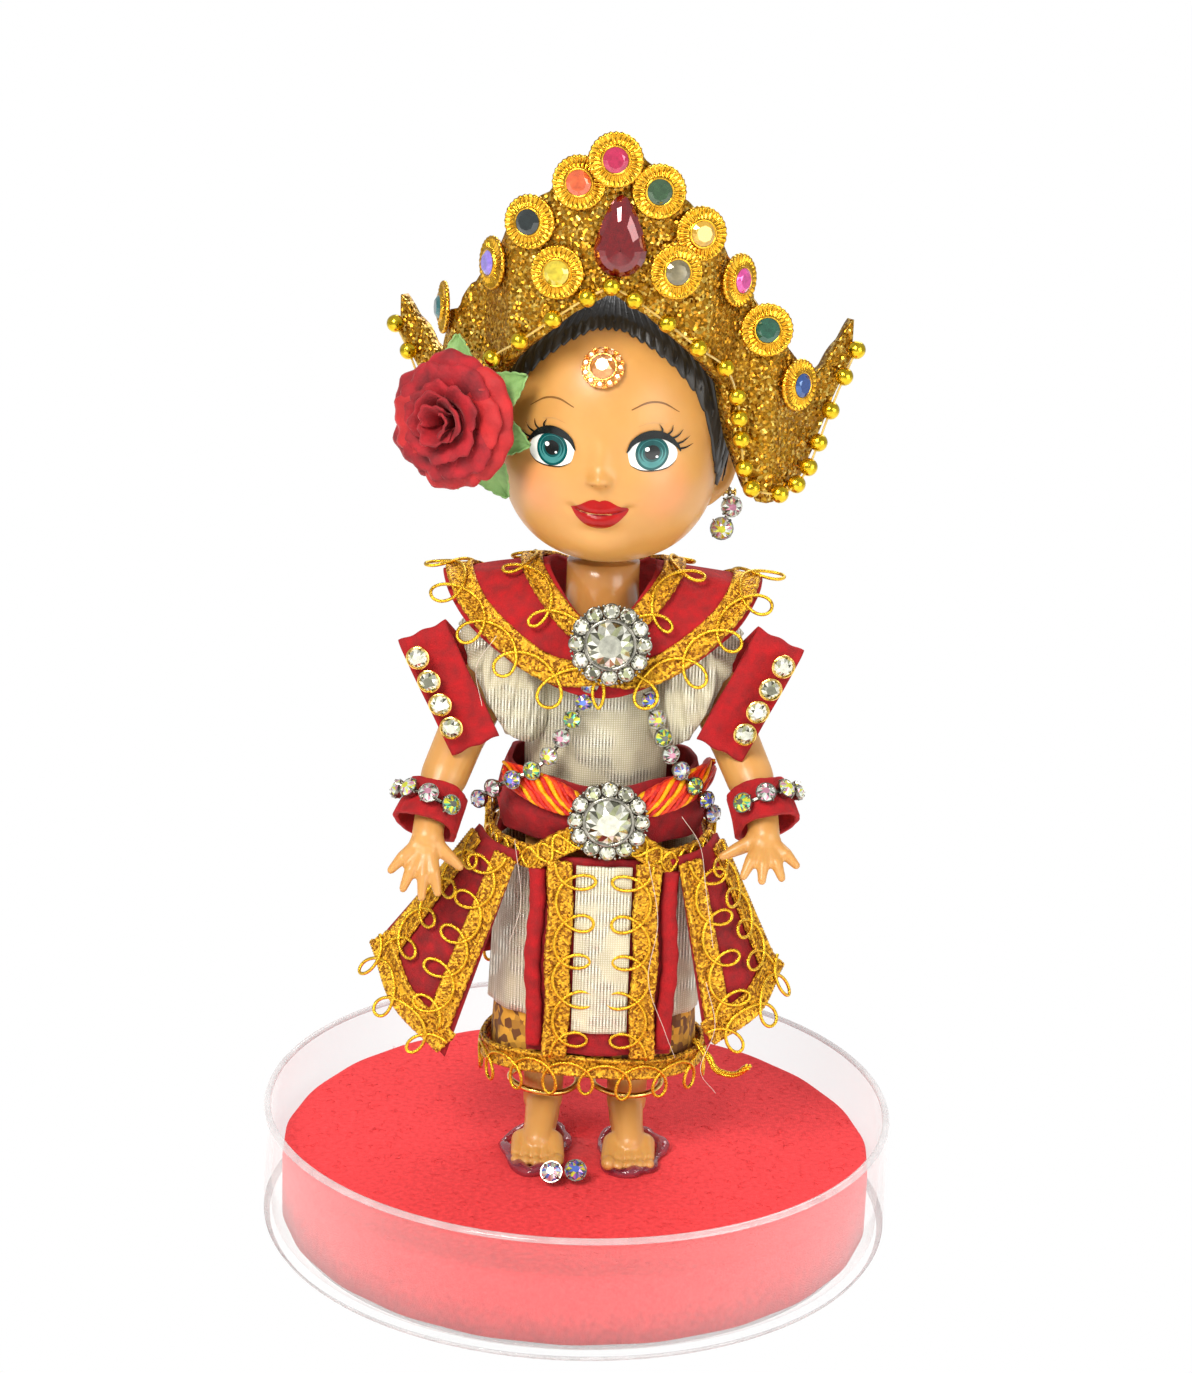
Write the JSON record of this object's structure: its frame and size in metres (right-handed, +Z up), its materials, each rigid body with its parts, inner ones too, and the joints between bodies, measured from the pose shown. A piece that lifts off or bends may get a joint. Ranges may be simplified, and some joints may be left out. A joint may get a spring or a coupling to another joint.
{
  "type": "costumed dancer doll on a display stand",
  "caption": "Small jointed vinyl doll in a red and gold dancer's dress with a tall jewelled crown, standing on a felt plinth in a clear round dish.",
  "frame": {"origin": "middle of the dish's underside, on the table", "axes": "+Z up, the doll faces -Y, +X is the doll's left"},
  "size_m": [0.085, 0.085, 0.1462],
  "materials": {
    "clear_plastic": "gloss",
    "foam_board": "matte",
    "red_felt": "matte",
    "hot_glue": "satin",
    "iridescent_crystal": "gloss",
    "skin_vinyl": "satin",
    "body_plastic": "gloss",
    "gold_wire": "gloss",
    "batik_cloth": "matte",
    "silver_brocade": "satin",
    "gold_braid": "satin",
    "red_velvet": "matte",
    "orange_sash": "satin",
    "grey_setting": "satin",
    "clear_crystal": "gloss",
    "gold_bezel_stone": "gloss",
    "grey_cup_stone": "gloss",
    "black_hair": "satin",
    "glitter_foam": "satin",
    "gold_plated_plastic": "gloss",
    "coloured_cabochon": "gloss",
    "dark_red_gem": "gloss",
    "orange_gem": "gloss",
    "rose_fabric": "matte",
    "leaf_fabric": "matte"
  },
  "bodies": {
    "stand": {"base_dish": "clear_plastic", "plinth_core": "foam_board", "felt_cover": "red_felt", "glue_pads": "hot_glue", "toe_crystals": "iridescent_crystal", "right_leg": "skin_vinyl", "left_leg": "skin_vinyl", "right_anklet": "gold_wire", "left_anklet": "gold_wire"},
    "torso": {"batik_wrap": "batik_cloth", "overskirt": "silver_brocade", "hem_braid": "gold_braid", "front_panel": "red_velvet", "front_inlay": "silver_brocade", "front_braids": "gold_braid", "right_peplum": "red_velvet", "left_peplum": "red_velvet", "back_peplum": "red_velvet", "right_peplum_braid": "gold_braid", "left_peplum_braid": "gold_braid", "back_peplum_braid": "gold_braid", "torso_front": "body_plastic", "torso_back": "body_plastic", "bodice": "silver_brocade", "waistband": "red_velvet", "right_sash": "orange_sash", "left_sash": "orange_sash", "collar": "red_velvet", "collar_outer_braid": "gold_braid", "collar_inner_braid": "gold_braid", "collar_brooch_setting": "grey_setting", "collar_brooch_stones": "clear_crystal", "belt_brooch_setting": "grey_setting", "belt_brooch_stones": "clear_crystal", "right_chain": "grey_cup_stone", "left_chain": "grey_cup_stone"},
    "right_arm": {"right_arm": "skin_vinyl", "right_cap_sleeve": "silver_brocade", "right_arm_band": "red_velvet", "right_band_studs": "gold_bezel_stone", "right_cuff": "red_velvet", "right_cuff_stones": "grey_cup_stone"},
    "left_arm": {"left_arm": "skin_vinyl", "left_cap_sleeve": "silver_brocade", "left_arm_band": "red_velvet", "left_band_studs": "gold_bezel_stone", "left_cuff": "red_velvet", "left_cuff_stones": "grey_cup_stone"},
    "head": {"head_shell": "skin_vinyl", "hair": "black_hair", "crown_sheet": "glitter_foam", "crown_beads": "gold_plated_plastic", "crown_buttons": "gold_plated_plastic", "crown_cabochons": "coloured_cabochon", "teardrop_gem": "dark_red_gem", "forehead_jewel": "orange_gem", "rose": "rose_fabric", "rose_leaves": "leaf_fabric", "earring_hook": "gold_wire"},
    "earring": {"earring_drop": "grey_cup_stone"}
  },
  "joints": [
    {"name": "hip_lean", "type": "hinge", "parent": "stand", "child": "torso", "pos_m": [0.001, 0, 0.0504], "axis": [1, 0, 0], "range_deg": [-3, 6]},
    {"name": "neck_turn", "type": "hinge", "parent": "torso", "child": "head", "pos_m": [0.001, -0.001, 0.0916], "axis": [0, 0, 1], "continuous": true},
    {"name": "right_shoulder", "type": "hinge", "parent": "torso", "child": "right_arm", "pos_m": [0.001, 0, 0.0794], "axis": [-1, 0, 0], "range_deg": [-4, 25]},
    {"name": "left_shoulder", "type": "hinge", "parent": "torso", "child": "left_arm", "pos_m": [0.001, 0, 0.0794], "axis": [-1, 0, 0], "range_deg": [-4, 25]},
    {"name": "earring_swing", "type": "hinge", "parent": "head", "child": "earring", "pos_m": [0.01555, -0.0002, 0.1007], "axis": [1, 0, 0], "range_deg": [-12, 12]}
  ]
}
